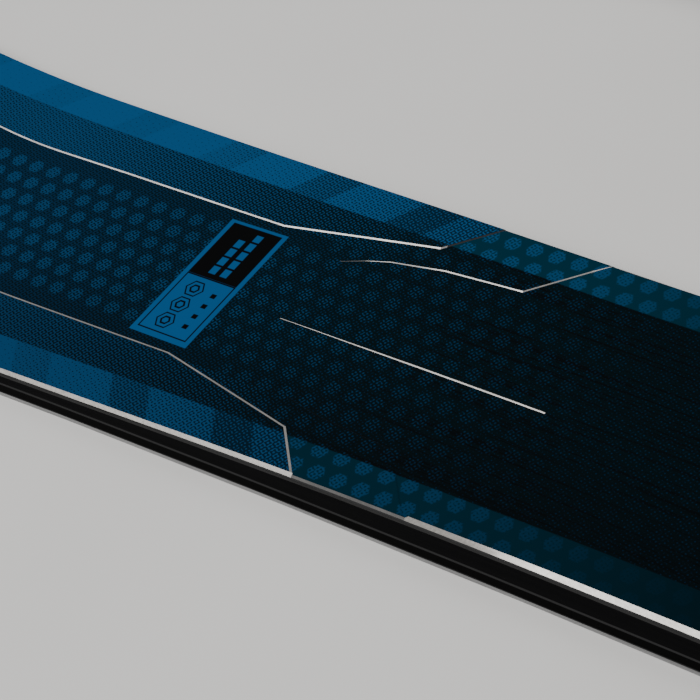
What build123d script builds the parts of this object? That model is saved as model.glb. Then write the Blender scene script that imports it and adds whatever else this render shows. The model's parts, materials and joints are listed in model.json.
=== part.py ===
from build123d import *
import os
from math import asin, cos, degrees, hypot, radians, sin, tan

# A splitboard in touring mode: two half boards side by side, with the hardware that joins them.
# +X points to the nose, +Y to the outer edge of the left half and +Z up. The origin is on the
# ground, midway between the halves and midway along the board. All sizes are in millimetres.

# Outline of the board, seen from above
board_length = 1590.0
touring_gap = 160.0  # between the inner edges of the two halves
waist_x = -40.0
waist_width = 130.0  # of one half, over its steel edges
sidecut_radius = 9500.0
nose_contact_x = 605.0  # the flat running length lies between the two contact points
tail_contact_x = -635.0
nose_side_radius = 232.0  # the nose is a wide arc that runs into a tighter one at the tip
tail_side_radius = 215.0

# Side view
nose_rise = 35.0
tail_rise = 22.0
full_thickness_reach = 330.0  # the board is at full thickness this far ahead of and behind the waist
end_overrun = 12.0  # the side profiles run this far past the tips, and the outline trims them

# Layers: each surface's height along the middle, at the contact points, and above the base at the tips
ground = (0.0, 0.0, 0.0)
base_top = (1.3, 1.3, 1.3)
edge_top = (2.0, 2.0, 2.0)
damping_top = (2.3, 2.3, 2.3)
core_top = (10.2, 7.2, 3.2)
upper_laminate_top = (10.9, 7.9, 3.9)
topsheet_top = (12.0, 9.0, 5.0)

# Edges and sidewalls
edge_width = 2.0
sidewall_angle = 30.0
outer_sidewall_width = 11.0
inner_sidewall_width = 6.0
core_strip_width = 19.6
core_strip_count = 6

# Binding inserts, each with an M6 thread
insert_radius = 4.5
insert_flange_radius = 7.5
insert_flange_height = 0.8
insert_bore_radius = 2.5
insert_bore_depth = 6.5
insert_spacing = 40.0
insert_pair_spacing = 20.0
stance_offset = 235.0  # from the waist to the middle of each foot
stance_inset = 47.0  # from the seam to the middle of each foot pattern
toe_bracket_offset = 95.0
heel_rest_offset = -175.0
touring_inset = 62.0  # from the seam to the middle of the touring patterns

# Seam hooks, one pair ahead of the stance and one behind it
hook_offset = 302.0  # from the waist
hook_plate_length = 40.0
hook_plate_width = 24.0
hook_plate_inset = 1.0  # from the seam
hook_plate_thickness = 1.0
hook_corner_radius = 3.0
tongue_width = 16.0
tongue_reach = 14.0  # past the seam
tongue_root = 20.0  # how far the tongue runs back over its own plate
tongue_block = 12.0  # length of the block that carries it there
tongue_low = 1.2
tongue_high = 3.2
bridge_clearance = 0.4  # beside the tongue
strap_clearance = 0.3  # above the tongue
strap_thickness = 1.6
bridge_wall = 5.0
bridge_start = 3.0  # from the seam
bridge_length = 10.0

# Tip and tail latches
nose_latch_angle = 12.6  # how far round the rocker arc each latch sits
tail_latch_angle = 7.2
post_inset = 18.0  # from the seam to each pivot and stud
post_shift = 14.0  # from the middle of the latch towards the tip
post_tail_radius = 2.5
seam_clearance = 0.3  # left between the halves when they are joined
latch_plate_length = 38.0
latch_plate_width = 24.0
latch_plate_shift = 5.0  # from the middle of the latch towards the tip
latch_plate_thickness = 1.9
latch_corner_radius = 4.0
arm_low = 2.0
arm_high = 4.5
arm_width = 12.0
arm_eye_radius = 9.0
pivot_radius = 3.95
pivot_clearance = 0.05
stud_radius = 3.0
stud_clearance = 0.25
button_radius = 6.0
button_height = 2.0
button_gap = 0.15
button_chamfer = 0.6
slot_opening_angle = 24.0
thumb_lip_height = 3.0
thumb_lip_thickness = 2.5
thumb_lip_width = 10.0

# Screws that hold the hardware down
screw_radius = 2.0
screw_head_radius = 3.6
screw_head_height = 0.9
screw_socket_radius = 1.5
screw_socket_depth = 0.6
screw_depth = 3.2

seam_y = touring_gap / 2
nose_x = board_length / 2
tail_x = -board_length / 2
block_width = 340.0
block_height = 80.0
flat_top = topsheet_top[0]
sidewall_slope = tan(radians(sidewall_angle))
tip_inset = (topsheet_top[1] - edge_top[1]) * sidewall_slope
arm_reach = 2 * post_inset + seam_clearance


def end_points(contact_x, tip_x, side_radius, inset):
    """Points of one end of the outline: at the contact, where its two arcs meet, and at the tip."""
    forward = 1 if tip_x > contact_x else -1
    contact_run = abs(contact_x - waist_x)
    turn = asin(contact_run / sidecut_radius)
    contact_width = waist_width + sidecut_radius * (1 - cos(turn))
    centre_run = contact_run + side_radius * sin(turn)
    centre_y = contact_width - side_radius * cos(turn)
    tip_run = abs(tip_x - waist_x)
    rest = tip_run - centre_run
    tip_radius = (side_radius**2 - rest**2 - centre_y**2) / (2 * (side_radius - rest))
    tip_centre_run = tip_run - tip_radius
    apart = hypot(tip_centre_run - centre_run, centre_y)
    along = (tip_centre_run - centre_run) / apart
    across = -centre_y / apart
    contact = (
        waist_x + forward * (contact_run + inset * sin(turn)),
        contact_width - inset * cos(turn),
    )
    meeting = (
        waist_x + forward * (centre_run + (side_radius - inset) * along),
        centre_y + (side_radius - inset) * across,
    )
    tip = (tip_x - forward * inset, 0)
    return contact, meeting, tip


def outline(inset):
    """The joined board's outline about its seam, drawn in by inset all round."""
    nose_contact, nose_meeting, nose_tip = end_points(nose_contact_x, nose_x, nose_side_radius, inset)
    tail_contact, tail_meeting, tail_tip = end_points(tail_contact_x, tail_x, tail_side_radius, inset)
    with BuildSketch() as plan:
        with BuildLine():
            sidecut = ThreePointArc(tail_contact, (waist_x, waist_width - inset), nose_contact)
            nose_side = TangentArc(nose_contact, nose_meeting, tangent=sidecut % 1)
            TangentArc(nose_meeting, nose_tip, tangent=nose_side % 1)
            tail_side = TangentArc(tail_contact, tail_meeting, tangent=-(sidecut % 0))
            TangentArc(tail_meeting, tail_tip, tangent=tail_side % 1)
            Line(tail_tip, nose_tip)
        make_face()
        mirror(about=Plane.XZ)
    return plan.sketch


def rocker(surface, contact_x, tip_x, rise):
    """Centre and radius of one end's upturned arc, which leaves the contact point level."""
    contact_height, tip_height = surface[1:]
    run = abs(tip_x - contact_x)
    climb = rise + tip_height - contact_height
    radius = (run**2 + climb**2) / (2 * climb)
    return (contact_x, contact_height + radius), radius


def side_curve(surface):
    """One layer's surface in side view, from past the tail tip to past the nose tip."""
    middle, contact = surface[:2]
    tail_centre, tail_radius = rocker(surface, tail_contact_x, tail_x, tail_rise)
    nose_centre, nose_radius = rocker(surface, nose_contact_x, nose_x, nose_rise)
    tail_turn = degrees(asin((tail_contact_x - tail_x + end_overrun) / tail_radius))
    nose_turn = degrees(asin((nose_x - nose_contact_x + end_overrun) / nose_radius))
    tail = CenterArc(tail_centre, tail_radius, -90 - tail_turn, tail_turn)
    nose = CenterArc(nose_centre, nose_radius, -90, nose_turn)
    if middle == contact:
        Line((tail_contact_x, contact), (nose_contact_x, contact))
    else:
        tail_taper_x = waist_x - full_thickness_reach
        nose_taper_x = waist_x + full_thickness_reach
        half_way = (middle + contact) / 2
        tail_half = ((tail_contact_x + tail_taper_x) / 2, half_way)
        nose_half = ((nose_contact_x + nose_taper_x) / 2, half_way)
        climb = TangentArc((tail_contact_x, contact), tail_half, tangent=(1, 0))
        TangentArc(tail_half, (tail_taper_x, middle), tangent=climb % 1)
        Line((tail_taper_x, middle), (nose_taper_x, middle))
        fall = TangentArc((nose_taper_x, middle), nose_half, tangent=(1, 0))
        TangentArc(nose_half, (nose_contact_x, contact), tangent=fall % 1)
    return tail @ 0, nose @ 1


def sheet(lower, upper):
    """A layer between two surfaces, before it is trimmed to the outline."""
    with BuildPart() as blank:
        with BuildSketch(Plane.XZ):
            with BuildLine():
                lower_tail, lower_nose = side_curve(lower)
                upper_tail, upper_nose = side_curve(upper)
                Line(lower_tail, upper_tail)
                Line(lower_nose, upper_nose)
            make_face()
        extrude(amount=-block_width)
    return blank.part


def upright(inset):
    """A tall block with the board's outline, drawn in by inset."""
    with BuildPart() as block:
        with BuildSketch(Plane((0, seam_y, 0))):
            add(outline(inset))
        extrude(amount=block_height)
    return block.part


def keep(low_x, high_x, inner_inset):
    """Trims the part being built to a stretch of the left half."""
    centre = ((low_x + high_x) / 2, seam_y + inner_inset + block_width / 2, 0)
    with Locations(centre):
        Box(high_x - low_x, block_width, 2 * block_height, mode=Mode.INTERSECT)


def rocker_plane(contact_x, tip_x, rise, angle):
    """Plane on the top surface of an upturned end, at the seam, with X still towards the nose."""
    forward = 1 if tip_x > contact_x else -1
    centre, radius = rocker(topsheet_top, contact_x, tip_x, rise)
    slope = radians(angle)
    return Plane(
        origin=(centre[0] + forward * radius * sin(slope), seam_y, centre[1] - radius * cos(slope)),
        x_dir=(cos(slope), 0, forward * sin(slope)),
        z_dir=(-forward * sin(slope), 0, cos(slope)),
    )


nose_plane = rocker_plane(nose_contact_x, nose_x, nose_rise, nose_latch_angle)
tail_plane = rocker_plane(tail_contact_x, tail_x, tail_rise, tail_latch_angle)
front_hook_plane = Plane((waist_x + hook_offset, seam_y, flat_top))
rear_hook_plane = Plane((waist_x - hook_offset, seam_y, flat_top))

stance_points = GridLocations(insert_spacing, insert_spacing, 2, 2)
touring_points = GridLocations(insert_pair_spacing, insert_spacing, 2, 2)
insert_patterns = [
    (waist_x + stance_offset, seam_y + stance_inset, stance_points),
    (waist_x - stance_offset, seam_y + stance_inset, stance_points),
    (waist_x + toe_bracket_offset, seam_y + touring_inset, touring_points),
    (waist_x + heel_rest_offset, seam_y + touring_inset, touring_points),
]
insert_spots = [
    (x + spot.position.X, y + spot.position.Y)
    for x, y, pattern in insert_patterns
    for spot in pattern
]

# Where each screw stands, in the plane of the hardware that it holds down
latch_screw_points = [(-6.0, 12.0), (-6.0, 24.0)]
hook_screw_points = [(-14.0, 18.0), (14.0, 18.0)]

# ---- Binding inserts of the left half ----

with BuildPart() as inserts:
    with BuildSketch(Plane.XY.offset(edge_top[0])):
        with Locations(*insert_spots):
            Circle(insert_flange_radius)
    extrude(amount=insert_flange_height)
    with BuildSketch(Plane.XY.offset(edge_top[0])):
        with Locations(*insert_spots):
            Circle(insert_radius)
    extrude(amount=flat_top - edge_top[0])
insert_blanks = inserts.part

with BuildPart() as inserts:
    add(insert_blanks)
    with BuildSketch(Plane.XY.offset(flat_top)):
        with Locations(*insert_spots):
            Circle(insert_bore_radius)
    extrude(amount=-insert_bore_depth, mode=Mode.SUBTRACT)


# ---- Screws and posts that stand in the left half ----


def turned(points, direction):
    """The points with their X turned towards the nose (1) or towards the tail (-1)."""
    return [(direction * x, y) for x, y in points]


def top_rim(part_builder, plane):
    """The round edge of the highest face, measured along the plane's normal."""
    return part_builder.faces().sort_by(Axis(plane.origin, plane.z_dir))[-1].edges()


def latch_post(plane, direction, shoulder_radius):
    """A pivot or a stud: threaded tail, shoulder for the arm, and a button head over it."""
    spot = (direction * post_shift, post_inset)
    shoulder_top = arm_high + button_gap
    with BuildPart() as post:
        with BuildSketch(plane.offset(-screw_depth)):
            with Locations(spot):
                Circle(post_tail_radius)
        extrude(amount=screw_depth + latch_plate_thickness)
        with BuildSketch(plane.offset(latch_plate_thickness)):
            with Locations(spot):
                Circle(shoulder_radius)
        extrude(amount=shoulder_top - latch_plate_thickness)
        with BuildSketch(plane.offset(shoulder_top)):
            with Locations(spot):
                Circle(button_radius)
        extrude(amount=button_height)
        chamfer(top_rim(post, plane), button_chamfer)
        with BuildSketch(plane.offset(shoulder_top + button_height)):
            with Locations(spot):
                RegularPolygon(stud_radius, 6)
        extrude(amount=-screw_head_height, mode=Mode.SUBTRACT)
    return post


# Each set: its plane, its points, and the height at which the screw heads start
flush_head = latch_plate_thickness - screw_head_height
screw_sets = [
    (nose_plane, turned(latch_screw_points, 1), flush_head),
    (tail_plane, turned(latch_screw_points, -1), flush_head),
    (front_hook_plane, hook_screw_points, hook_plate_thickness),
    (rear_hook_plane, hook_screw_points, hook_plate_thickness),
]
with BuildPart() as screw_blanks:
    for plane, points, head_base in screw_sets:
        with BuildSketch(plane.offset(-screw_depth)):
            with Locations(*points):
                Circle(screw_radius)
        extrude(amount=screw_depth + head_base)
        with BuildSketch(plane.offset(head_base)):
            with Locations(*points):
                Circle(screw_head_radius)
        extrude(amount=screw_head_height)

with BuildPart() as screws:
    add(screw_blanks.part)
    for plane, points, head_base in screw_sets:
        with BuildSketch(plane.offset(head_base + screw_head_height)):
            with Locations(*points):
                RegularPolygon(screw_socket_radius, 6)
        extrude(amount=-screw_socket_depth, mode=Mode.SUBTRACT)

nose_latch_pivot = latch_post(nose_plane, 1, pivot_radius)
tail_latch_pivot = latch_post(tail_plane, -1, pivot_radius)
nose_latch_stud = latch_post(nose_plane, 1, stud_radius)
tail_latch_stud = latch_post(tail_plane, -1, stud_radius)

with BuildPart() as fixings:
    add(screw_blanks.part)
    add(nose_latch_pivot.part)
    add(tail_latch_pivot.part)

# ---- Envelope of everything above the steel edges: the bevelled sidewalls and the blunt tips ----

with BuildPart() as envelope:
    with BuildSketch(Plane((0, seam_y, edge_top[0]))):
        add(outline(0))
    with BuildSketch(Plane((0, seam_y, flat_top))):
        add(outline((flat_top - edge_top[0]) * sidewall_slope))
    loft(ruled=True)
    keep(tail_contact_x, nose_contact_x, 0)

tip_block = upright(tip_inset)
with BuildPart() as nose_block:
    add(tip_block)
    keep(nose_contact_x, nose_x, 0)
with BuildPart() as tail_block:
    add(tip_block)
    keep(tail_x, tail_contact_x, 0)
with BuildPart() as upper_envelope:
    add(envelope.part)
    add(nose_block.part)
    add(tail_block.part)

full_block = upright(0)
base_block = upright(edge_width)
core_block = upright(outer_sidewall_width)

# ---- Layers of the left half, from the ground up ----



def base_piece(low_x, high_x):
    """One die-cut piece of the running base."""
    with BuildPart() as piece:
        add(sheet(ground, base_top))
        add(base_block, mode=Mode.INTERSECT)
        keep(low_x, high_x, edge_width)
    return piece


base = base_piece(tail_contact_x, nose_contact_x)
nose_base = base_piece(nose_contact_x, nose_x)
tail_base = base_piece(tail_x, tail_contact_x)

with BuildPart() as lower_laminate:
    add(sheet(base_top, edge_top))
    add(base_block, mode=Mode.INTERSECT)
    keep(tail_x, nose_x, edge_width)

with BuildPart() as outer_edge:
    add(sheet(ground, edge_top))
    add(full_block, mode=Mode.INTERSECT)
    keep(tail_x, nose_x, edge_width)
    add(base_block, mode=Mode.SUBTRACT)

with BuildPart() as inner_edge:
    add(sheet(ground, edge_top))
    add(full_block, mode=Mode.INTERSECT)
    with Locations((0, seam_y + edge_width / 2, 0)):
        Box(board_length, edge_width, 2 * block_height, mode=Mode.INTERSECT)

with BuildPart() as edge_damping:
    add(sheet(edge_top, damping_top))
    add(upper_envelope.part, mode=Mode.INTERSECT)
    keep(tail_contact_x, nose_contact_x, 0)
    with BuildPart(mode=Mode.PRIVATE) as damping_window:
        add(core_block)
        keep(tail_x, nose_x, inner_sidewall_width)
    add(damping_window.part, mode=Mode.SUBTRACT)

with BuildPart() as outer_sidewall:
    add(sheet(damping_top, core_top))
    add(upper_envelope.part, mode=Mode.INTERSECT)
    keep(tail_contact_x, nose_contact_x, inner_sidewall_width)
    add(core_block, mode=Mode.SUBTRACT)

with BuildPart() as inner_sidewall:
    add(sheet(damping_top, core_top))
    with Locations(((nose_contact_x + tail_contact_x) / 2, seam_y + inner_sidewall_width / 2, 0)):
        Box(
            nose_contact_x - tail_contact_x,
            inner_sidewall_width,
            2 * block_height,
            mode=Mode.INTERSECT,
        )

with BuildPart() as core:
    add(sheet(edge_top, core_top))
    add(core_block, mode=Mode.INTERSECT)
    keep(tail_contact_x, nose_contact_x, inner_sidewall_width)
    add(insert_blanks, mode=Mode.SUBTRACT)
    add(fixings.part, mode=Mode.SUBTRACT)


def core_strips(first):
    """Every second strip of the laminated core. The outermost one runs on to the sidewall."""
    with BuildPart() as strips:
        for index in range(first, core_strip_count, 2):
            low_y = seam_y + inner_sidewall_width + index * core_strip_width
            last = index == core_strip_count - 1
            width = block_width if last else core_strip_width
            with BuildPart(mode=Mode.PRIVATE) as strip:
                add(core.part)
                with Locations((0, low_y + width / 2, 0)):
                    Box(board_length, width, 2 * block_height, mode=Mode.INTERSECT)
            add(strip.part)
    return strips


core_poplar = core_strips(0)
core_ash = core_strips(1)

with BuildPart() as nose_spacer:
    add(sheet(edge_top, core_top))
    add(nose_block.part, mode=Mode.INTERSECT)
    add(fixings.part, mode=Mode.SUBTRACT)

with BuildPart() as tail_spacer:
    add(sheet(edge_top, core_top))
    add(tail_block.part, mode=Mode.INTERSECT)
    add(fixings.part, mode=Mode.SUBTRACT)

with BuildPart() as upper_laminate:
    add(sheet(core_top, upper_laminate_top))
    add(upper_envelope.part, mode=Mode.INTERSECT)
    add(insert_blanks, mode=Mode.SUBTRACT)
    add(fixings.part, mode=Mode.SUBTRACT)

with BuildPart() as topsheet:
    add(sheet(upper_laminate_top, topsheet_top))
    add(upper_envelope.part, mode=Mode.INTERSECT)
    add(insert_blanks, mode=Mode.SUBTRACT)
    add(fixings.part, mode=Mode.SUBTRACT)

# ---- Latch plates, the same on both halves, and the latch arms ----


def latch_plate(plane, direction):
    """Plate under a pivot or stud. Its underside follows the curved topsheet."""
    middle = (direction * latch_plate_shift, post_inset)
    with BuildPart() as plate:
        with BuildSketch(plane):
            with Locations(middle):
                RectangleRounded(latch_plate_length, latch_plate_width, latch_corner_radius)
        extrude(amount=latch_plate_thickness)
        add(topsheet.part, mode=Mode.SUBTRACT)
        add(fixings.part, mode=Mode.SUBTRACT)
    return plate


def latch_arm(plane, direction):
    """Arm that turns about the pivot until its curved slot holds the other half's stud."""
    pivot_spot = (direction * post_shift, post_inset)
    hook_spot = (direction * (post_shift - arm_reach), post_inset)
    middle = (direction * (post_shift - arm_reach / 2), post_inset)
    lip_spot = (direction * (post_shift - arm_reach - arm_eye_radius), post_inset)
    slot_start = 180 if direction > 0 else 0
    with BuildPart() as arm:
        with BuildSketch(plane.offset(arm_low)):
            with Locations(pivot_spot, hook_spot):
                Circle(arm_eye_radius)
            with Locations(middle):
                Rectangle(arm_reach, arm_width)
            with Locations(pivot_spot):
                Circle(pivot_radius + pivot_clearance, mode=Mode.SUBTRACT)
            with BuildLine():
                sweep_path = CenterArc(pivot_spot, arm_reach, slot_start, direction * slot_opening_angle)
            SlotArc(sweep_path, 2 * (stud_radius + stud_clearance), mode=Mode.SUBTRACT)
        extrude(amount=arm_high - arm_low)
        with BuildSketch(plane.offset(arm_low)):
            with Locations(lip_spot):
                Rectangle(thumb_lip_thickness, thumb_lip_width)
        extrude(amount=arm_high - arm_low + thumb_lip_height)
    return arm


nose_latch_plate = latch_plate(nose_plane, 1)
tail_latch_plate = latch_plate(tail_plane, -1)
nose_latch_arm = latch_arm(nose_plane, 1)
tail_latch_arm = latch_arm(tail_plane, -1)

# ---- Seam hooks: a tongue on the left half slides under a bridge on the right half ----


def hook_base(plane):
    """Flat plate of a hook or of its keeper, with the screws let through."""
    with BuildPart() as plate:
        with BuildSketch(plane):
            with Locations((0, hook_plate_inset + hook_plate_width / 2)):
                RectangleRounded(hook_plate_length, hook_plate_width, hook_corner_radius)
        extrude(amount=hook_plate_thickness)
        add(screw_blanks.part, mode=Mode.SUBTRACT)
    return plate.part


def seam_hook(plane):
    with BuildPart() as hook:
        add(hook_base(plane))
        with BuildSketch(plane.offset(hook_plate_thickness)):
            with Locations((0, tongue_root - tongue_block / 2)):
                Rectangle(tongue_width, tongue_block)
        extrude(amount=tongue_high - hook_plate_thickness)
        with BuildSketch(plane.offset(tongue_low)):
            with Locations((0, (tongue_root - tongue_reach) / 2)):
                RectangleRounded(tongue_width, tongue_root + tongue_reach, hook_corner_radius)
        extrude(amount=tongue_high - tongue_low)
    return hook


def seam_keeper(plane):
    opening = tongue_width + 2 * bridge_clearance
    strap_low = tongue_high + strap_clearance
    strap_high = strap_low + strap_thickness
    bridge_middle = (0, bridge_start + bridge_length / 2)
    with BuildPart() as keeper:
        add(hook_base(plane))
        with BuildSketch(plane.offset(hook_plate_thickness)):
            with Locations(bridge_middle):
                Rectangle(opening + 2 * bridge_wall, bridge_length)
        extrude(amount=strap_high - hook_plate_thickness)
        with BuildSketch(plane.offset(hook_plate_thickness)):
            with Locations(bridge_middle):
                Rectangle(opening, bridge_length)
        extrude(amount=strap_low - hook_plate_thickness, mode=Mode.SUBTRACT)
    return keeper


front_seam_hook = seam_hook(front_hook_plane)
rear_seam_hook = seam_hook(rear_hook_plane)
front_seam_keeper = seam_keeper(front_hook_plane)
rear_seam_keeper = seam_keeper(rear_hook_plane)

# ---- Files: the right half is the mirror image of the left ----

half_pieces = {
    "base": base,
    "nose_base": nose_base,
    "tail_base": tail_base,
    "lower_laminate": lower_laminate,
    "outer_edge": outer_edge,
    "inner_edge": inner_edge,
    "edge_damping": edge_damping,
    "outer_sidewall": outer_sidewall,
    "inner_sidewall": inner_sidewall,
    "core_poplar": core_poplar,
    "core_ash": core_ash,
    "nose_spacer": nose_spacer,
    "tail_spacer": tail_spacer,
    "upper_laminate": upper_laminate,
    "topsheet": topsheet,
    "inserts": inserts,
    "hardware_screws": screws,
}
left_pieces = {
    "nose_latch_plate": nose_latch_plate,
    "nose_latch_pivot": nose_latch_pivot,
    "nose_latch_arm": nose_latch_arm,
    "tail_latch_plate": tail_latch_plate,
    "tail_latch_pivot": tail_latch_pivot,
    "tail_latch_arm": tail_latch_arm,
    "front_seam_hook": front_seam_hook,
    "rear_seam_hook": rear_seam_hook,
}
right_pieces = {
    "nose_keeper_plate": nose_latch_plate,
    "nose_keeper_stud": nose_latch_stud,
    "tail_keeper_plate": tail_latch_plate,
    "tail_keeper_stud": tail_latch_stud,
    "front_seam_keeper": front_seam_keeper,
    "rear_seam_keeper": rear_seam_keeper,
}
for name, piece in half_pieces.items():
    left_pieces[f"left_{name}"] = piece
    right_pieces[f"right_{name}"] = piece

os.makedirs("parts", exist_ok=True)
for name, piece in left_pieces.items():
    piece.part.label = name
    export_step(piece.part, f"parts/{name}.step")
for name, piece in right_pieces.items():
    with BuildPart() as mirrored:
        mirror(piece.part, about=Plane.XZ)
    mirrored.part.label = name
    export_step(mirrored.part, f"parts/{name}.step")
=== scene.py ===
import json
import math
from bisect import bisect_right

import bmesh
import bpy
from mathutils import Matrix, Vector


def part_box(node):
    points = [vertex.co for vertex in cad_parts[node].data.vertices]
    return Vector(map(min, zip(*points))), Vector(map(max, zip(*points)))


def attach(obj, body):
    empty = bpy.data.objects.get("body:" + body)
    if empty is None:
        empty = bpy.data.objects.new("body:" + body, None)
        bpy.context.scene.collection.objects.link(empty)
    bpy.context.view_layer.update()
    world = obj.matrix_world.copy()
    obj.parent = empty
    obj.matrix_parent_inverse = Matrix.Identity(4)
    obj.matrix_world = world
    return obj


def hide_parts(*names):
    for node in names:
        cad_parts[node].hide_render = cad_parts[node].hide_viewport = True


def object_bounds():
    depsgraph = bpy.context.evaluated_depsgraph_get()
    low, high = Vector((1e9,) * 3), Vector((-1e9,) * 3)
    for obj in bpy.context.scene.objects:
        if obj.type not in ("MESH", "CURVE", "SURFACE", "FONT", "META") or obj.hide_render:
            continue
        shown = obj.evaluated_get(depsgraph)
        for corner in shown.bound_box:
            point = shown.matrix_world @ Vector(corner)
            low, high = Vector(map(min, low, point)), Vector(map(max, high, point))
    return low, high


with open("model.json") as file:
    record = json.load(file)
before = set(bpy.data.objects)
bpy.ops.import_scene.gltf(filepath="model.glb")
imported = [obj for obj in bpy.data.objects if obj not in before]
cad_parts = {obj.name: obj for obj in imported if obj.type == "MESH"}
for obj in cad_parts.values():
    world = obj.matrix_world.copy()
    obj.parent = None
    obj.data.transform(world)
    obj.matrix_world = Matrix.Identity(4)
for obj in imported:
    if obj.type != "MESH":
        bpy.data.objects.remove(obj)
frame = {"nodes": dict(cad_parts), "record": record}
cad_low, cad_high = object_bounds()

# The looks of a splitboard in touring mode. Lengths are in metres, in the frame of the CAD model:
# +X to the nose, +Y to the outer edge of the left half, +Z up. "Along" runs from the middle of the
# print towards the waist, and "across" from a half's mid-line to its outer edge.

MM = 0.001

# ---- The board's shape, as the CAD model has it ----

SEAM_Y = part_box("left_inner_edge")[0].y
NOSE_X = cad_high.x
TAIL_X = cad_low.x
WAIST_X = -0.040
WAIST_WIDTH = 0.130
SIDECUT_RADIUS = 9.5
NOSE_CONTACT_X = 0.605
TAIL_CONTACT_X = -0.635
NOSE_SIDE_RADIUS = 0.232
TAIL_SIDE_RADIUS = 0.215
NOSE_RISE = 0.035
TAIL_RISE = 0.022
MIDDLE_HEIGHT = 0.012
CONTACT_HEIGHT = 0.009
TIP_HEIGHT = 0.005
EDGE_HEIGHT = 0.002
FLAT_REACH = 0.330
SHEET_THICKNESS = 0.0011
SIDEWALL_SLOPE = math.tan(math.radians(30))
TIP_INSET = (CONTACT_HEIGHT - EDGE_HEIGHT) * SIDEWALL_SLOPE
INSERT_RADIUS = 0.0045

# ---- The relief and the print on a half. Run is measured from a contact point to the waist ----

PRINT_MIDDLE_RUN = 0.190
RIDGE_END_RUN = 0.208
STEP_END_RUN = 0.2574
# Ridge line: (run, distance from the mid-line)
RIDGE = [
    (-0.095, 0.0),
    (-0.040, 0.038),
    (0.039, 0.038),
    (0.123, 0.037),
    (0.1905, 0.0493),
    (0.209, 0.068),
]
RIDGE_OPEN_RUN = -0.085
RIDGE_FULL_RUN = -0.055
# Past this run the ridge's facet on the seam's side takes the dark sheet edge as painted shade
RIDGE_SHADE_RUN = 0.1905 + 0.002
RIDGE_WIDTH = 0.80 * MM
# Step line, likewise
STEP = [
    (0.158, 0.0292),
    (0.167, 0.0330),
    (0.1763, 0.0360),
    (0.1992, 0.0399),
    (0.2334, 0.0419),
    (0.2585, 0.068),
]
STEP_FULL_RUN = 0.190
STEP_WIDE_RUN = 0.200
STEP_WIDTH = 0.60 * MM
# The ridge and step lines on the seam's side have this share of the width
SEAM_SIDE_SHARE = 0.65
SPINE_ACROSS = 5.1 * MM
SPINE_START = 0.1537
SPINE_END = 0.2749
SPINE_FULL_RUN = 0.235
SPINE_WIDTH = 0.78 * MM
SPINE_HEIGHT = 0.30 * MM
RIDGE_DROP = 0.35 * MM
STEP_DROP = 0.30 * MM
LEVEL_START = 0.265
LEVEL_END = 0.325
BEVEL_DROP = 1.0 * MM
SEAM_BEVEL_WIDTH = 0.45 * MM
RIDGE_BEVEL_WIDTH = 1.35 * MM
NARROW_BEVEL_WIDTH = 0.8 * MM
WIDE_BEVEL_WIDTH = 1.9 * MM
WIDE_BEVEL_END = 0.40
NARROW_BEVEL_START = 0.44
# Short of this run the bevels take the silver as a painted highlight, save a stretch of the outer one; past
# it both take the dim copy as painted shade
BEVEL_HIGHLIGHT_END = 0.42
BAND_WIDTH = 15.8 * MM
# The print stands square to the tapering mid-line, so its far side runs ahead of its near side
LEAN = 0.0239
LEAN_ACROSS = 0.058

# ---- The topsheet's mesh ----

STATION_COUNT = 300
STATION_GAP = 0.1 * MM
JUMP_HALF = 0.25 * MM
ARC_DEGREES = 62
ARC_STEP = 2
MERGE_DISTANCE = 0.002 * MM
HOLE_GAP = 0.05 * MM
HOLE_DEPTH = 0.006
HOLE_SIDES = 40


def smooth(value, low, high):
    """0 below low, 1 above high, and a smooth climb between them."""
    t = min(1.0, max(0.0, (value - low) / (high - low)))
    return t * t * (3 - 2 * t)


def end_arcs(contact_x, tip_x, side_radius):
    """The two arcs of one end of the outline, as centres and radii, with runs measured from the waist."""
    contact_run = abs(contact_x - WAIST_X)
    turn = math.asin(contact_run / SIDECUT_RADIUS)
    contact_width = WAIST_WIDTH + SIDECUT_RADIUS * (1 - math.cos(turn))
    side_run = contact_run + side_radius * math.sin(turn)
    side_y = contact_width - side_radius * math.cos(turn)
    tip_run = abs(tip_x - WAIST_X)
    rest = tip_run - side_run
    tip_radius = (side_radius**2 - rest**2 - side_y**2) / (2 * (side_radius - rest))
    tip_centre = tip_run - tip_radius
    apart = math.hypot(tip_centre - side_run, side_y)
    meeting = side_run + side_radius * (tip_centre - side_run) / apart
    return {
        "contact": contact_run,
        "side": (side_run, side_y, side_radius),
        "meeting": meeting,
        "tip": (tip_centre, 0.0, tip_radius),
    }


NOSE_ARCS = end_arcs(NOSE_CONTACT_X, NOSE_X, NOSE_SIDE_RADIUS)
TAIL_ARCS = end_arcs(TAIL_CONTACT_X, TAIL_X, TAIL_SIDE_RADIUS)


def arcs_at(x):
    return NOSE_ARCS if x > WAIST_X else TAIL_ARCS


def outline_width(x, inset):
    """Width of a half at x, from the seam to its outline drawn in by inset."""
    run = abs(x - WAIST_X)
    arcs = arcs_at(x)
    if run <= arcs["contact"]:
        centre_y = WAIST_WIDTH + SIDECUT_RADIUS
        return centre_y - math.sqrt((SIDECUT_RADIUS + inset) ** 2 - run**2)
    centre_run, centre_y, radius = arcs["side"] if run < arcs["meeting"] else arcs["tip"]
    return centre_y + math.sqrt(max(0.0, (radius - inset) ** 2 - (run - centre_run) ** 2))


def outline_distance(x, across_seam, inset):
    """How far a point of a half is inside its outline drawn in by inset."""
    run = abs(x - WAIST_X)
    arcs = arcs_at(x)
    if run <= arcs["contact"]:
        return outline_width(x, inset) - across_seam
    side_run, side_y, side_radius = arcs["side"]
    tip_run, tip_y, tip_radius = arcs["tip"]
    towards_tip = (run - side_run) * (tip_y - side_y) - (across_seam - side_y) * (tip_run - side_run)
    if towards_tip > 0:
        return tip_radius - inset - math.hypot(run - tip_run, across_seam - tip_y)
    return side_radius - inset - math.hypot(run - side_run, across_seam - side_y)


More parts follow.
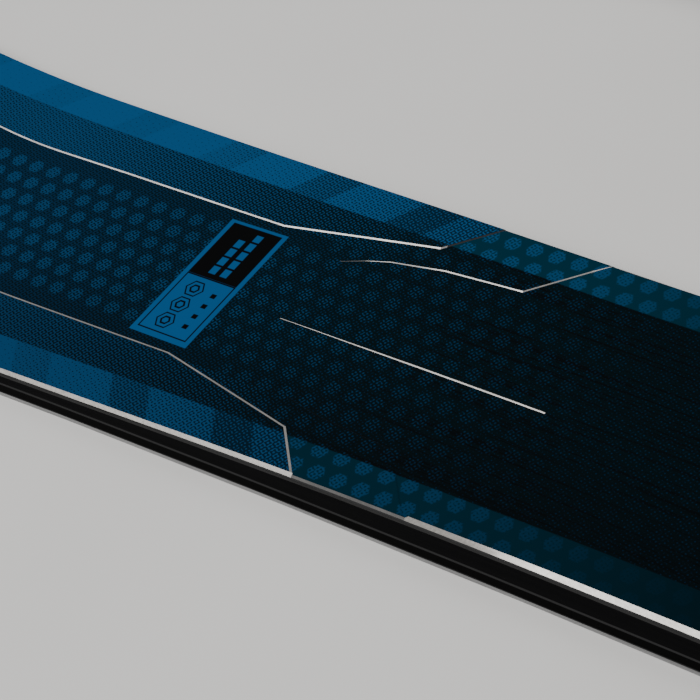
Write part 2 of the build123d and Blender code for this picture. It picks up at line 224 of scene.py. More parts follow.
def surface_height(x):
    """Height of the plain topsheet at x, before its relief."""
    run = abs(x - WAIST_X)
    nose = x > WAIST_X
    contact_run = abs((NOSE_CONTACT_X if nose else TAIL_CONTACT_X) - WAIST_X)
    tip_run = abs((NOSE_X if nose else TAIL_X) - WAIST_X)
    if run <= FLAT_REACH:
        return MIDDLE_HEIGHT
    drop = MIDDLE_HEIGHT - CONTACT_HEIGHT
    length = contact_run - FLAT_REACH
    radius = (length**2 + drop**2) / (4 * drop)
    if run <= FLAT_REACH + length / 2:
        return MIDDLE_HEIGHT - radius + math.sqrt(radius**2 - (run - FLAT_REACH) ** 2)
    if run <= contact_run:
        return CONTACT_HEIGHT + radius - math.sqrt(radius**2 - (contact_run - run) ** 2)
    climb = (NOSE_RISE if nose else TAIL_RISE) + TIP_HEIGHT - CONTACT_HEIGHT
    end = tip_run - contact_run
    rocker = (end**2 + climb**2) / (2 * climb)
    return CONTACT_HEIGHT + rocker - math.sqrt(rocker**2 - (run - contact_run) ** 2)


def wall_inset(x, height):
    """How far the bevelled sidewall stands in from the edge at x, at a height above the ground."""
    if TAIL_CONTACT_X <= x <= NOSE_CONTACT_X:
        return (height - EDGE_HEIGHT) * SIDEWALL_SLOPE
    return TIP_INSET


def run_from_contact(x):
    """Distance from the nearer contact point towards the waist."""
    return NOSE_CONTACT_X - x if x > WAIST_X else x - TAIL_CONTACT_X


def along_line(line, run):
    """Distance from the mid-line of a feature line at run, and its slope there."""
    runs = [point[0] for point in line]
    index = min(len(line) - 1, max(1, bisect_right(runs, run)))
    (run_a, across_a), (run_b, across_b) = line[index - 1], line[index]
    slope = (across_b - across_a) / (run_b - run_a)
    inside = min(max(run, line[0][0]), line[-1][0])
    return across_a + slope * (inside - run_a), slope if line[0][0] <= run <= line[-1][0] else 0.0


def levels(run):
    """Heights of the three levels of the relief under the plain topsheet: rail, middle and low."""
    fade = (1 - smooth(run, LEVEL_START, LEVEL_END)) * smooth(run, RIDGE[0][0], RIDGE_FULL_RUN)
    middle = -RIDGE_DROP * fade
    low = middle - STEP_DROP * fade * smooth(run, STEP[0][0], STEP_FULL_RUN)
    if run > STEP_END_RUN:
        middle = low
    rail = 0.0 if run <= RIDGE_END_RUN else middle
    return rail, middle, low


def bevel_width(run):
    """Width of the bevel along the outer edge at run."""
    if run <= RIDGE_END_RUN:
        return RIDGE_BEVEL_WIDTH
    if run <= STEP_END_RUN:
        return NARROW_BEVEL_WIDTH
    narrowing = (WIDE_BEVEL_WIDTH - NARROW_BEVEL_WIDTH) * smooth(run, WIDE_BEVEL_END, NARROW_BEVEL_START)
    return WIDE_BEVEL_WIDTH - narrowing


# Finishes of the topsheet's strips, in the order of its material slots: silver that is partly a painted
# highlight, a dim copy of it as painted shade, the print, and the dark sheet edge, which also stands as
# painted shade on one ridge facet
SILVER_AND_HIGHLIGHT, DIM_SHADE, PRINT, SIDE_AND_SHADE = range(4)
# Extra columns of points between the ridge and the bevel
FILL = 3


def cross_section(x):
    """The topsheet across a half at x.

    Gives points as (distance from the mid-line, height over the plain sheet), from the seam to the
    outer edge, and the finish of each strip between two points.
    """
    top = surface_height(x)
    half = outline_width(x, wall_inset(x, top)) / 2
    points, finishes = [], []
    for side in (-1, 1):
        run = run_from_contact(x) - side * LEAN * LEAN_ACROSS
        rail, middle, low = levels(run)
        ridge, ridge_slope = along_line(RIDGE, run)
        step, step_slope = along_line(STEP, run)
        share = SEAM_SIDE_SHARE if side < 0 else 1.0
        ridge_half = share * RIDGE_WIDTH / 2 * math.hypot(1, ridge_slope)
        ridge_half *= smooth(run, RIDGE[0][0], RIDGE_OPEN_RUN)
        step_half = share * STEP_WIDTH / 2 * math.hypot(1, step_slope)
        step_half *= 0.25 + 0.75 * smooth(run, STEP[0][0], STEP_WIDE_RUN)
        if not STEP[0][0] <= run <= STEP[-1][0]:
            step_half = 0.0
        bevel = min(bevel_width(run) if side > 0 else SEAM_BEVEL_WIDTH, half * 0.5)
        head = half - bevel
        ridge_out = min(head, ridge + ridge_half)
        ridge_in = min(ridge_out, max(0.0, ridge - ridge_half))
        step_out = min(ridge_in, step + step_half)
        step_in = min(step_out, step - step_half)
        column = [(half, -BEVEL_DROP), (head, rail)]
        for index in range(1, FILL + 1):
            column.append((head + (ridge_out - head) * index / (FILL + 1), rail))
        column.append((ridge_out, rail))
        column.append((ridge_in, middle))
        column.append((step_out, middle))
        column.append((step_in, low))
        # Painted light on the relief: facets that faced the light get the silver as a painted highlight, and
        # facets turned from it get the dim bevel, the dark sheet edge or the plain print as painted shade
        if side < 0:
            bevel_finish_and_light = SILVER_AND_HIGHLIGHT if run < BEVEL_HIGHLIGHT_END else DIM_SHADE
            ridge_finish_and_light = SIDE_AND_SHADE if run > RIDGE_SHADE_RUN else SILVER_AND_HIGHLIGHT
            step_finish_and_light = SILVER_AND_HIGHLIGHT
        else:
            shaded_bevel = RIDGE_END_RUN < run < STEP_END_RUN or run > BEVEL_HIGHLIGHT_END
            bevel_finish_and_light = DIM_SHADE if shaded_bevel else SILVER_AND_HIGHLIGHT
            ridge_finish_and_light = SILVER_AND_HIGHLIGHT
            step_finish_and_light = PRINT
        finish = [bevel_finish_and_light] + [PRINT] * (FILL + 1) + [ridge_finish_and_light, PRINT, step_finish_and_light]
        if side < 0:
            points += [(-across, height) for across, height in column]
            finishes += finish
        else:
            points_out, finish_out = column[::-1], finish[::-1]
    run = run_from_contact(x)
    spine = SPINE_START < run < SPINE_END
    growth = 0.3 + 0.7 * smooth(run, SPINE_START, SPINE_FULL_RUN)
    spine_half = SPINE_WIDTH / 2 * growth if spine else 0.0
    least, most = points[-1][0], points_out[0][0]
    centre = min(SPINE_ACROSS, most)
    points += [
        (max(least, centre - spine_half), low),
        (centre, low + (SPINE_HEIGHT * growth if spine else 0.0)),
        (min(most, centre + spine_half), low),
    ]
    # The spine's slopes are silver, partly as a painted highlight
    spine_finish_and_light = SILVER_AND_HIGHLIGHT if spine else PRINT
    finishes += [PRINT, spine_finish_and_light, spine_finish_and_light, PRINT]
    return points + points_out, finishes + finish_out


def stations():
    """Places along the board where the topsheet has a cross-section."""
    places = set()
    for index in range(STATION_COUNT + 1):
        places.add(TAIL_X + (NOSE_X - TAIL_X) * index / STATION_COUNT)
    features = [run for run, _ in RIDGE[:-1]] + [run for run, _ in STEP[:-1]]
    features += [LEVEL_START, LEVEL_END, WIDE_BEVEL_END, NARROW_BEVEL_START]
    jumps = [RIDGE_END_RUN, STEP_END_RUN, SPINE_START, SPINE_END, RIDGE_SHADE_RUN, BEVEL_HIGHLIGHT_END]
    for jump in jumps:
        features += [jump - JUMP_HALF, jump + JUMP_HALF]
    for run in features:
        for shift in (-LEAN * LEAN_ACROSS, 0, LEAN * LEAN_ACROSS):
            places.add(NOSE_CONTACT_X - run - shift)
            places.add(TAIL_CONTACT_X + run + shift)
    for arcs, forward in ((NOSE_ARCS, 1), (TAIL_ARCS, -1)):
        tip_centre, _, tip_radius = arcs["tip"]
        for degree in range(0, ARC_DEGREES, ARC_STEP):
            run = tip_centre + (tip_radius - TIP_INSET) * math.cos(math.radians(degree))
            places.add(WAIST_X + forward * run)
    low = TAIL_X + TIP_INSET
    high = NOSE_X - TIP_INSET
    kept = []
    for place in sorted(places):
        if low <= place <= high and (not kept or place - kept[-1] > STATION_GAP):
            kept.append(place)
    return kept


def topsheet_mesh(name, side):
    """Closed relief mesh of one half's topsheet. side is 1 for the left half and -1 for the right."""
    bm = bmesh.new()
    plan = bm.loops.layers.uv.new("Plan")
    edge = bm.loops.layers.uv.new("Edge")
    rows = []
    for x in stations():
        points, finishes = cross_section(x)
        top = surface_height(x)
        under = top - SHEET_THICKNESS
        half = outline_width(x, wall_inset(x, top)) / 2
        under_width = outline_width(x, wall_inset(x, under))
        row = [bm.verts.new((x, side * (SEAM_Y + half + across), top + lift)) for across, lift in points]
        low_outer = bm.verts.new((x, side * (SEAM_Y + under_width), under))
        low_inner = bm.verts.new((x, side * SEAM_Y, under))
        rows.append((row + [low_outer, low_inner], finishes + [SIDE_AND_SHADE, SIDE_AND_SHADE, SIDE_AND_SHADE]))
    for (row_a, finishes), (row_b, _) in zip(rows, rows[1:]):
        count = len(row_a)
        for index in range(count):
            after = (index + 1) % count
            corners = [row_a[index], row_a[after], row_b[after], row_b[index]]
            face = bm.faces.new(corners)
            face.material_index = finishes[index]
            face.smooth = True
    for row, _ in (rows[0], rows[-1]):
        cap = bm.faces.new(row)
        cap.material_index = SIDE_AND_SHADE
    bmesh.ops.remove_doubles(bm, verts=bm.verts, dist=MERGE_DISTANCE)
    bmesh.ops.dissolve_degenerate(bm, dist=MERGE_DISTANCE, edges=bm.edges)
    bmesh.ops.recalc_face_normals(bm, faces=bm.faces)
    for face in bm.faces:
        for loop in face.loops:
            x, y, _ = loop.vert.co
            top = surface_height(x)
            inset = wall_inset(x, top)
            across_seam = abs(y) - SEAM_Y
            across = across_seam - outline_width(x, inset) / 2
            outer = outline_distance(x, across_seam, inset)
            loop[plan].uv = (run_from_contact(x) - PRINT_MIDDLE_RUN - LEAN * across, across)
            loop[edge].uv = (outer, across_seam)
    mesh = bpy.data.meshes.new(name)
    bm.to_mesh(mesh)
    bm.free()
    return mesh


def islands(mesh):
    """The loose pieces of a mesh, each as its box's low and high corners."""
    bm = bmesh.new()
    bm.from_mesh(mesh)
    bmesh.ops.remove_doubles(bm, verts=bm.verts, dist=0.001 * MM)
    seen = set()
    boxes = []
    for start in bm.verts:
        if start in seen:
            continue
        seen.add(start)
        reached = [start]
        for vertex in reached:
            for edge in vertex.link_edges:
                other = edge.other_vert(vertex)
                if other not in seen:
                    seen.add(other)
                    reached.append(other)
        spots = [vertex.co for vertex in reached]
        low = Vector([min(spot[axis] for spot in spots) for axis in range(3)])
        high = Vector([max(spot[axis] for spot in spots) for axis in range(3)])
        boxes.append((low, high))
    bm.free()
    return boxes


def insert_holes(skin, node):
    """Cuts the topsheet open over each binding insert of the half."""
    bm = bmesh.new()
    for low, high in islands(frame["nodes"][node].data):
        middle = (low + high) / 2
        middle.z = MIDDLE_HEIGHT
        bmesh.ops.create_cone(
            bm,
            cap_ends=True,
            segments=HOLE_SIDES,
            radius1=INSERT_RADIUS + HOLE_GAP,
            radius2=INSERT_RADIUS + HOLE_GAP,
            depth=HOLE_DEPTH,
            matrix=Matrix.Translation(middle),
        )
    mesh = bpy.data.meshes.new("holes")
    bm.to_mesh(mesh)
    bm.free()
    cutter = bpy.data.objects.new("holes", mesh)
    bpy.context.scene.collection.objects.link(cutter)
    cut = skin.modifiers.new("holes", "BOOLEAN")
    cut.object = cutter
    cut.solver = "EXACT"
    bpy.context.view_layer.update()
    graph = bpy.context.evaluated_depsgraph_get()
    evaluated = skin.evaluated_get(graph)
    holed = bpy.data.meshes.new_from_object(evaluated, preserve_all_data_layers=True, depsgraph=graph)
    skin.modifiers.clear()
    skin.data = holed
    bpy.data.objects.remove(cutter)


# ---- Materials ----


class Graph:
    """Short names for the nodes that a procedural material is made of. Arguments are numbers or sockets."""

    def __init__(self, name):
        self.material = bpy.data.materials.new(name)
        self.material.use_nodes = True
        self.nodes = self.material.node_tree.nodes
        self.links = self.material.node_tree.links
        self.shader = self.nodes["Principled BSDF"]

    def feed(self, socket, value):
        if isinstance(value, bpy.types.NodeSocket):
            self.links.new(value, socket)
        elif hasattr(socket.default_value, "__len__") and len(value) == 3 and len(socket.default_value) == 4:
            socket.default_value = (*value, 1.0)
        else:
            socket.default_value = value

    def math(self, operation, *values, clamp=False):
        node = self.nodes.new("ShaderNodeMath")
        node.operation = operation
        node.use_clamp = clamp
        for socket, value in zip(node.inputs, values):
            self.feed(socket, value)
        return node.outputs[0]

    def add(self, *values):
        total = values[0]
        for value in values[1:]:
            total = self.math("ADD", total, value)
        return total

    def times(self, *values):
        total = values[0]
        for value in values[1:]:
            total = self.math("MULTIPLY", total, value)
        return total

    def span(self, value, low, high, to_low=0.0, to_high=1.0, smoothly=True):
        """Value mapped from low..high to to_low..to_high, and held beyond them."""
        node = self.nodes.new("ShaderNodeMapRange")
        node.interpolation_type = "SMOOTHSTEP" if smoothly else "LINEAR"
        for socket, given in zip(node.inputs, (value, low, high, to_low, to_high)):
            self.feed(socket, given)
        return node.outputs[0]

    def inside(self, value, low, high, soft):
        """1 where value is between low and high, with soft edges."""
        rise = self.span(value, low - soft, low + soft)
        fall = self.span(value, high - soft, high + soft, 1.0, 0.0)
        return self.times(rise, fall)

    def blend(self, factor, first, second):
        node = self.nodes.new("ShaderNodeMix")
        node.data_type = "RGBA"
        self.feed(node.inputs[0], factor)
        self.feed(node.inputs[6], first)
        self.feed(node.inputs[7], second)
        return node.outputs[2]

    def uv(self, layer):
        node = self.nodes.new("ShaderNodeUVMap")
        node.uv_map = layer
        split = self.nodes.new("ShaderNodeSeparateXYZ")
        self.links.new(node.outputs[0], split.inputs[0])
        return split.outputs[0], split.outputs[1]

    def position(self):
        node = self.nodes.new("ShaderNodeTexCoord")
        return node.outputs["Object"]

    def axes(self):
        split = self.nodes.new("ShaderNodeSeparateXYZ")
        self.links.new(self.position(), split.inputs[0])
        return split.outputs

    def stretched(self, scale):
        node = self.nodes.new("ShaderNodeMapping")
        self.links.new(self.position(), node.inputs[0])
        node.inputs["Scale"].default_value = scale
        return node.outputs[0]

    def noise(self, scale, detail=2.0, roughness=0.5, vector=None):
        node = self.nodes.new("ShaderNodeTexNoise")
        self.links.new(vector or self.position(), node.inputs["Vector"])
        node.inputs["Scale"].default_value = scale
        node.inputs["Detail"].default_value = detail
        node.inputs["Roughness"].default_value = roughness
        return node.outputs["Fac"]

    def bump(self, height, strength, distance):
        node = self.nodes.new("ShaderNodeBump")
        node.inputs["Strength"].default_value = strength
        node.inputs["Distance"].default_value = distance
        self.links.new(height, node.inputs["Height"])
        self.links.new(node.outputs[0], self.shader.inputs["Normal"])

    def screen(self, along, across, degrees, period):
        """A print screen: -1 to 1, high on the dots of a square lattice turned by degrees."""
        turn = 2 * math.pi / period
        c, s = math.cos(math.radians(degrees)) * turn, math.sin(math.radians(degrees)) * turn
        first = self.add(self.times(along, c), self.times(across, s))
        second = self.add(self.times(along, -s), self.times(across, c))
        waves = self.add(self.math("COSINE", first), self.math("COSINE", second))
        return self.times(waves, 0.5)


def shade(red, green, blue):
    """Linear colour of an sRGB one given in 0 to 255."""
    def linear(value):
        value /= 255
        return value / 12.92 if value <= 0.04045 else ((value + 0.055) / 1.055) ** 2.4

    return linear(red), linear(green), linear(blue)


BRIGHT_BLUE = shade(0, 74, 120)
LABEL_BLUE = shade(0, 78, 128)
DOT_BLUE = shade(0, 60, 98)
DEEP_BLUE = shade(0, 40, 68)
TEAL = shade(0, 44, 60)
NIGHT = shade(0, 17, 22)
BLACK = shade(3, 4, 5)

# The print's pattern, in millimetres on a half. "Along" is measured from the middle of the print, and
# a fade's first two numbers are the places along between which it runs
SCREEN_PERIOD = 1.37
DOT_SCREEN_TURN = 15
LINE_SCREEN_TURN = 45
HEXAGON_HALF_PITCH = 5.0
HEXAGON_ROW = 8.84
HEXAGON_INNER = 2.8
HEXAGON_OUTER = 3.5
PATCH_HALF_PITCH = 25.0
PATCH_HALF_WIDTH = 9.2
PATCH_SLANT = 0.67
RIDGE_ACROSS = 37.6
# A length past every place on the board, which keeps repeats from turning round inside it
FAR_ALONG = 1000.0
FAR_ACROSS = 10.0 * HEXAGON_ROW


def hexagon_dots(g, along, across):
    """Mask of the hexagon dots, which stand in staggered rows."""
    hexagons = None
    for shift_along, shift_across in ((0.0, 0.0), (HEXAGON_HALF_PITCH, HEXAGON_ROW)):
        cell_a = g.math("PINGPONG", g.add(along, FAR_ALONG + shift_along), HEXAGON_HALF_PITCH)
        cell_b = g.math("PINGPONG", g.add(across, FAR_ACROSS + shift_across), HEXAGON_ROW)
        # A hexagon's slanting sides: the cosine and sine of 30 degrees
        slant = g.add(g.times(cell_a, 0.866), g.times(cell_b, 0.5))
        radius = g.math("MAXIMUM", slant, cell_b)
        mask = g.span(radius, HEXAGON_INNER, HEXAGON_OUTER, 1.0, 0.0)
        hexagons = mask if hexagons is None else g.math("MAXIMUM", hexagons, mask)
    return hexagons


def dark_field(g, along, away, mixed, hexagons):
    """Dark field, bluer towards the tips and darker towards the waist, partly as print and partly as painted
    shade, with hexagon dots and a screen that thin out to the waist.
    """
    fill = g.span(along, -185.0, 60.0, 0.30, -0.45, smoothly=False)
    screen_dots = g.span(g.add(mixed, fill), -0.1, 0.35)
    field = g.blend(g.times(screen_dots, 0.85), NIGHT, DEEP_BLUE)
    # Darker towards the waist: partly the print's fade and partly painted shade, where the light fell off
    waist_fade_and_shade = g.span(along, -20.0, 190.0, smoothly=False)
    field = g.blend(g.times(waist_fade_and_shade, 0.30), field, BLACK)
    # Fine dark streaks along the board, clearer towards the waist
    streaks = g.noise(1.0, 3.0, 0.7, g.stretched((10, 700, 1)))
    streaks_shown = g.span(along, -40.0, 60.0, 0.0, 0.75)
    field = g.blend(g.times(g.span(streaks, 0.48, 0.62), streaks_shown), field, BLACK)
    grain_fill = g.span(along, -200.0, -40.0, 0.45, -0.05, smoothly=False)
    grain = g.span(g.add(mixed, grain_fill), -0.05, 0.35)
    shown = g.span(along, -60.0, 105.0, 0.85, 0.06, smoothly=False)
    bare_strip = g.times(g.span(away, 30.5, 31.5), g.span(along, -45.0, -37.0, 1.0, 0.0))
    dots = g.times(hexagons, grain, shown, g.math("SUBTRACT", 1.0, bare_strip))
    return g.blend(dots, field, DOT_BLUE)


def beside_ridge(g, along, mixed):
    """Strip between the ridge and the bright band, filled with the screen."""
    fill = g.span(along, -200.0, 10.0, 0.35, -0.35, smoothly=False)
    return g.blend(g.span(g.add(mixed, fill), -0.15, 0.3), NIGHT, DOT_BLUE)


def edge_band(g, along, away, edge, mixed, hexagons):
    """Bright band with slanting darker patches and a screen, and past the ridge hexagons on teal."""
    slant = g.add(along, g.times(edge, PATCH_SLANT), 60.0)
    patch = g.inside(g.math("PINGPONG", slant, PATCH_HALF_PITCH), -1.0, PATCH_HALF_WIDTH, 0.8)
    patches = g.times(patch, g.span(along, -150.0, -70.0, 0.4, 0.8))
    open_screen = g.span(along, -150.0, 15.0, -0.75, 0.25, smoothly=False)
    holes = g.span(g.add(g.times(mixed, -1.0), open_screen, g.times(patches, 0.35)), -0.1, 0.25)
    bright = g.blend(g.times(holes, 0.85), BRIGHT_BLUE, NIGHT)
    bright = g.blend(g.times(patches, 0.22), bright, NIGHT)
    hexagons_shown = g.span(along, 20.0, 150.0, 0.75, 0.10, smoothly=False)
    solid_fill = g.span(along, 0.0, 60.0, 0.1, 0.5, smoothly=False)
    grain = g.span(g.add(mixed, solid_fill), -0.15, 0.5)
    rows = g.blend(g.times(hexagons, grain, hexagons_shown), TEAL, BRIGHT_BLUE)
    # Darker towards the waist, partly as print and partly as painted shade
    rows = g.blend(g.span(along, 40.0, 260.0), rows, NIGHT)
    past_ridge = g.span(g.add(along, g.times(away, -1.03)), -50.5, -50.1)
    return g.blend(past_ridge, bright, rows)


def print_material(name, with_label):
    """The printed topsheet: bands along the edges, hexagon dots on a dark field, and print screens."""
    g = Graph(name)
    along_m, across_m = g.uv("Plan")
    outer_m, inner_m = g.uv("Edge")
    along = g.times(along_m, 1000.0)
    across = g.times(across_m, 1000.0)
    edge = g.times(g.math("MINIMUM", outer_m, inner_m), 1000.0)
    away = g.math("ABSOLUTE", across)
    dots = g.screen(along, across, DOT_SCREEN_TURN, SCREEN_PERIOD)
    lines = g.screen(along, across, LINE_SCREEN_TURN, SCREEN_PERIOD)
    mixed = g.add(g.times(dots, 0.55), g.times(lines, 0.45))
    hexagons = hexagon_dots(g, along, across)

    beside = g.times(g.inside(away, RIDGE_ACROSS, 80.0, 0.3), g.span(along, -30.0, -4.0, 1.0, 0.0))
    colour = g.blend(beside, dark_field(g, along, away, mixed, hexagons), beside_ridge(g, along, mixed))
    band = g.span(edge, BAND_WIDTH / MM - 0.25, BAND_WIDTH / MM + 0.25, 1.0, 0.0)
    colour = g.blend(band, colour, edge_band(g, along, away, edge, mixed, hexagons))
    # Painted shade: the print is darkened towards the board's outer edge, where less light fell
    colour = g.blend(g.span(across, 10.0, 46.0, 0.0, 0.35, smoothly=False), colour, BLACK)
    if with_label:
        colour = label(g, colour, along, across)

    g.feed(g.shader.inputs["Base Color"], colour)
    g.shader.inputs["Roughness"].default_value = 0.38
    g.shader.inputs["Specular IOR Level"].default_value = 0.06
    g.shader.inputs["Coat Weight"].default_value = 0.03
    g.shader.inputs["Coat Roughness"].default_value = 0.12
    g.bump(g.noise(900.0, 3.0), 0.08, 0.0002)
    return g.material


def label(g, colour, along, across):
    """A badge of plain shapes: dashes on a black panel, and hexagons and squares on a blue one."""
    soft = 0.15
    nose_only = g.span(g.axes()[0], 0.0, 0.01)
    badge = g.times(g.inside(along, -90.8, -61.7, soft), g.inside(across, -32.6, 32.5, soft), nose_only)
    panel = g.times(g.inside(along, -88.6, -63.9, soft), g.inside(across, -31.2, -1.6, soft))
    dash = g.span(g.math("PINGPONG", g.add(across, 40.0), 2.6), 0.5 - soft, 0.5 + soft)
    first_row = g.times(g.inside(along, -80.4, -77.0, soft), g.inside(across, -24.6, -3.9, soft))
    second_row = g.times(g.inside(along, -74.6, -71.2, soft), g.inside(across, -28.6, -3.9, soft))
    dashes = g.times(dash, g.math("MAXIMUM", first_row, second_row))
    outline = g.times(g.inside(along, -88.6, -63.9, soft), g.inside(across, -1.6, 29.9, soft))
    inner = g.times(g.inside(along, -88.0, -64.5, soft), g.inside(across, -0.9, 29.3, soft))
    frame_line = g.math("SUBTRACT", outline, inner, clamp=True)
    cell = g.math("PINGPONG", g.add(across, 10 * 9.1 - 5.2), 4.55)
    height = g.math("ABSOLUTE", g.add(along, 79.6))
    hexagon = g.math("MAXIMUM", g.add(g.times(height, 0.866), g.times(cell, 0.5)), cell)
    rings = g.math("MAXIMUM", g.inside(hexagon, 3.3, 3.9, soft), g.inside(hexagon, 1.3, 2.1, soft))
    rings = g.times(rings, g.inside(across, 0.6, 28.0, soft))
    square_row = g.times(g.inside(along, -70.7, -68.3, soft), g.inside(across, 1.8, 27.0, soft))
    squares = g.times(square_row, g.inside(g.math("PINGPONG", g.add(across, 40.6), 2.9), -1.0, 1.1, soft))
    ink = g.math("MAXIMUM", g.math("MAXIMUM", frame_line, rings), squares)
    ink = g.math("MAXIMUM", ink, g.times(panel, g.math("SUBTRACT", 1.0, dashes)))
    face = g.blend(ink, LABEL_BLUE, BLACK)
    return g.blend(badge, colour, face)


def plain_material(
    name, colour, roughness, metallic=0.0, grain=200.0, contrast=0.25, bump=0.05, stretch=(1, 1, 1)
):
    """A solid finish whose colour and surface vary finely, as moulded, brushed or sawn stock does."""
    g = Graph(name)
    vector = g.stretched(stretch)
    fine = g.noise(grain, 4.0, 0.6, vector)
    broad = g.noise(grain / 12, 2.0, 0.5, vector)
    mixed = g.add(g.times(fine, 0.6), g.times(broad, 0.4))
    darker = tuple(channel * (1 - contrast) for channel in colour)
    lighter = tuple(min(1.0, channel * (1 + contrast)) for channel in colour)
    g.feed(g.shader.inputs["Base Color"], g.blend(g.span(mixed, 0.35, 0.65), darker, lighter))
    g.feed(g.shader.inputs["Roughness"], g.span(fine, 0.3, 0.7, roughness * 0.85, min(1.0, roughness * 1.15)))
    g.shader.inputs["Metallic"].default_value = metallic
    g.bump(fine, bump, 0.0003)
    return g.material


def sidewall_material():
    """Machined black sidewall: cutter lines, a light line, and a black foot over the steel edge."""
    g = Graph("sidewall_plastic")
    height = g.times(g.axes()[2], 1000.0)
    cut = g.noise(1.0, 3.0, 0.6, g.stretched((8, 8, 2600)))
    upper = g.blend(g.span(cut, 0.3, 0.7), shade(4, 4, 5), shade(8, 8, 9))
    line = g.inside(height, 4.6, 5.2, 0.12)
    colour = g.blend(g.span(height, 4.5, 4.7), shade(2, 2, 2), upper)
    colour = g.blend(g.times(line, 0.8), colour, shade(52, 52, 52))
    g.feed(g.shader.inputs["Base Color"], colour)
    g.shader.inputs["Roughness"].default_value = 0.55
    g.shader.inputs["Specular IOR Level"].default_value = 0.06
    g.bump(cut, 0.15, 0.0002)
    return g.material


def base_material(colour):
    """Sintered running base with a stone-ground structure along it."""
    g = Graph("running_base")
    grind = g.noise(1.0, 4.0, 0.7, g.stretched((12, 1800, 1)))
    g.feed(g.shader.inputs["Base Color"], g.blend(g.times(g.span(grind, 0.35, 0.65), 0.35), colour, BLACK))
    g.shader.inputs["Roughness"].default_value = 0.38
    g.bump(grind, 0.2, 0.0001)
    return g.material


# Silver for the relief's lines, partly a painted highlight, and a dim copy of it for the bevels as painted
# shade
FOIL_AND_HIGHLIGHT_COLOUR = (0.40, 0.385, 0.36)
FOIL_AND_HIGHLIGHT_LINE = plain_material("silver_foil_and_highlight", FOIL_AND_HIGHLIGHT_COLOUR, 0.34, 0.35, grain=900, contrast=0.12)
SHADED_BEVEL_LINE = plain_material("bevel_painted_shade", (0.085, 0.082, 0.078), 0.5, grain=900, contrast=0.35)
SHEET_EDGE = plain_material("sheet_edge", shade(7, 8, 10), 0.5, grain=500)
LEFT_PRINT = print_material("left_print", True)
RIGHT_PRINT = print_material("right_print", False)

FINISHES = {
    "base_material": base_material(shade(24, 25, 27)),
    "laminate": plain_material("laminate_glass", shade(20, 20, 20), 0.45, grain=700, stretch=(0.05, 1, 1)),
    "edge_steel": plain_material(
        "edge_steel", (0.28, 0.28, 0.285), 0.38, 0.9, grain=500, contrast=0.2, stretch=(0.02, 1, 1)
    ),
    "damping_rubber": plain_material("damping_rubber", shade(8, 8, 8), 0.8, grain=900),
    "sidewall": sidewall_material(),
    "core_poplar": plain_material("poplar", shade(214, 190, 148), 0.6, grain=260, stretch=(0.03, 1, 1)),
    "core_ash": plain_material(
        "ash", shade(190, 155, 110), 0.6, grain=180, contrast=0.35, stretch=(0.03, 1, 1)
    ),
    "spacer": plain_material("spacer_plastic", shade(24, 24, 25), 0.5, grain=600),
    "topsheet": LEFT_PRINT,
    "insert_steel": plain_material("insert_steel", (0.45, 0.45, 0.46), 0.3, 0.95, grain=900, contrast=0.1),
    "screw_steel": plain_material("screw_steel", (0.40, 0.40, 0.41), 0.3, 0.95, grain=900, contrast=0.1),
    "hook_metal": plain_material("hook_metal", (0.035, 0.036, 0.04), 0.38, 0.6, grain=1200, contrast=0.3),
    "latch_metal": plain_material("latch_metal", (0.42, 0.43, 0.45), 0.36, 0.9, grain=1400, contrast=0.12),
    "plate_metal": plain_material("plate_metal", (0.035, 0.036, 0.04), 0.38, 0.6, grain=1200, contrast=0.3),
}
END_BASE = base_material(shade(0, 78, 122))
SLOT_OF_NODE = {part["node"]: part["material_slot"] for part in frame["record"]["subparts"]}
ROUNDED_SLOTS = ("hook_metal", "latch_metal", "plate_metal")

for node_name, node in frame["nodes"].items():
    node_slot = SLOT_OF_NODE[node_name]
    node.data.materials.clear()
    end_piece = node_name.endswith(("nose_base", "tail_base"))
    node.data.materials.append(END_BASE if end_piece else FINISHES[node_slot])
    if node_slot in ROUNDED_SLOTS:
        rounding = node.modifiers.new("rounding", "BEVEL")
        rounding.width = 0.25 * MM
        rounding.segments = 2
        rounding.limit_method = "ANGLE"
        rounding.angle_limit = math.radians(40)

# ---- Topsheets ----

for half_name, side_sign, printed in (("left", 1, LEFT_PRINT), ("right", -1, RIGHT_PRINT)):
    skin = bpy.data.objects.new(f"{half_name}_printed_topsheet", topsheet_mesh(half_name, side_sign))
    bpy.context.scene.collection.objects.link(skin)
    for finish in (FOIL_AND_HIGHLIGHT_LINE, SHADED_BEVEL_LINE, printed, SHEET_EDGE):
        skin.data.materials.append(finish)
    insert_holes(skin, f"{half_name}_inserts")
    skin.data.set_sharp_from_angle(angle=math.radians(8))
    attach(skin, f"{half_name}_half")
    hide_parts(f"{half_name}_topsheet")

# ---- Floor, light and camera ----

FLOOR_COLOUR = (0.80, 0.79, 0.77)
FLOOR_REACH = 6
# Just under the bases, so that the two faces don't flicker
FLOOR_Z = -0.2 * MM
floor_mesh = bpy.data.meshes.new("floor")
floor_corners = [(x * FLOOR_REACH, y * FLOOR_REACH, FLOOR_Z) for x, y in ((-1, -1), (1, -1), (1, 1), (-1, 1))]
floor_mesh.from_pydata(floor_corners, [], [(0, 1, 2, 3)])
floor = bpy.data.objects.new("floor", floor_mesh)
bpy.context.scene.collection.objects.link(floor)
floor_paint = plain_material("floor_paint", FLOOR_COLOUR, 0.7, grain=3, contrast=0.02, bump=0.0)
floor_mesh.materials.append(floor_paint)

world = bpy.data.worlds.new("studio")
bpy.context.scene.world = world
world.use_nodes = True
world.node_tree.nodes["Background"].inputs["Color"].default_value = (1.0, 0.99, 0.98, 1.0)
world.node_tree.nodes["Background"].inputs["Strength"].default_value = 0.22


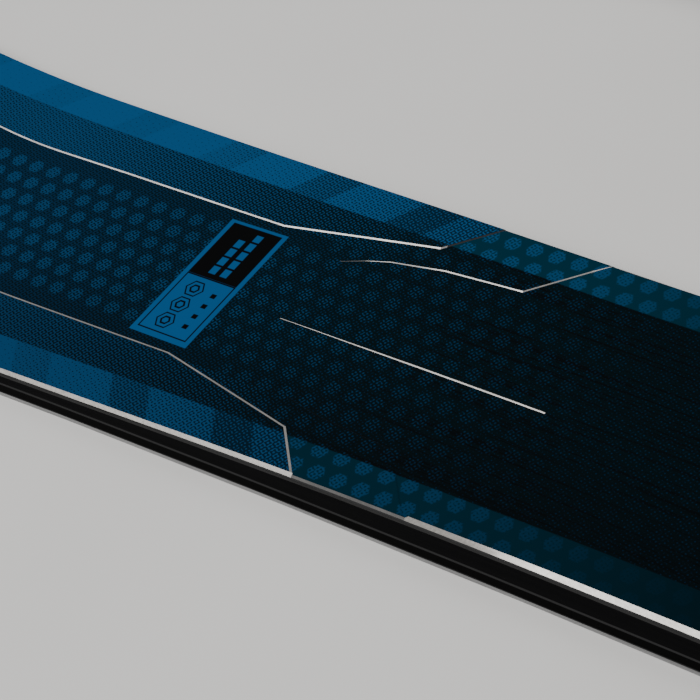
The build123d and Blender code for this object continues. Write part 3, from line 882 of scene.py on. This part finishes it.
def softbox(name, place, target, size, power):
    """A square lamp at place that faces target."""
    lamp = bpy.data.lights.new(name, "AREA")
    lamp.size = size
    lamp.energy = power
    box = bpy.data.objects.new(name, lamp)
    bpy.context.scene.collection.objects.link(box)
    box.location = place
    box.rotation_euler = (Vector(target) - Vector(place)).to_track_quat("-Z", "Y").to_euler()


softbox("key", (1.5, 1.1, 1.9), (0.4, 0.15, 0), 1.0, 41)
softbox("fill", (-1.8, 1.6, 1.8), (0, 0, 0), 1.6, 24)
softbox("rear", (-1.4, -1.9, 1.9), (0, 0, 0), 1.6, 24)

LENS = 123.8
VIEW_ACROSS = 8.5 * MM
VIEW_DISTANCE = 0.8767
VIEW_ELEVATION = math.radians(42.28)
VIEW_TURN = math.radians(39.25)
VIEW_ROLL = math.radians(19.97)
STEP_ALONG = 0.001


def mid_line(x):
    top = surface_height(x)
    return Vector((x, SEAM_Y + outline_width(x, wall_inset(x, top)) / 2, top))


PRINT_X = NOSE_CONTACT_X - PRINT_MIDDLE_RUN
towards_waist = (mid_line(PRINT_X - STEP_ALONG) - mid_line(PRINT_X + STEP_ALONG)).normalized()
board_up = Vector((0, 1, 0)).cross(towards_waist).normalized()
towards_edge = towards_waist.cross(board_up).normalized()
flat_direction = math.cos(VIEW_TURN) * towards_waist + math.sin(VIEW_TURN) * towards_edge
to_camera = math.cos(VIEW_ELEVATION) * flat_direction + math.sin(VIEW_ELEVATION) * board_up
level_right = (-to_camera).cross(board_up).normalized()
level_up = level_right.cross(-to_camera)
right = math.cos(VIEW_ROLL) * level_right - math.sin(VIEW_ROLL) * level_up
up = math.sin(VIEW_ROLL) * level_right + math.cos(VIEW_ROLL) * level_up

camera_data = bpy.data.cameras.new("camera")
camera_data.lens = LENS
camera_data.sensor_width = 36
camera = bpy.data.objects.new("camera", camera_data)
bpy.context.scene.collection.objects.link(camera)
pose = Matrix((right, up, to_camera)).transposed().to_4x4()
pose.translation = mid_line(PRINT_X) + VIEW_ACROSS * towards_edge + VIEW_DISTANCE * to_camera
camera.matrix_world = pose
bpy.context.scene.camera = camera
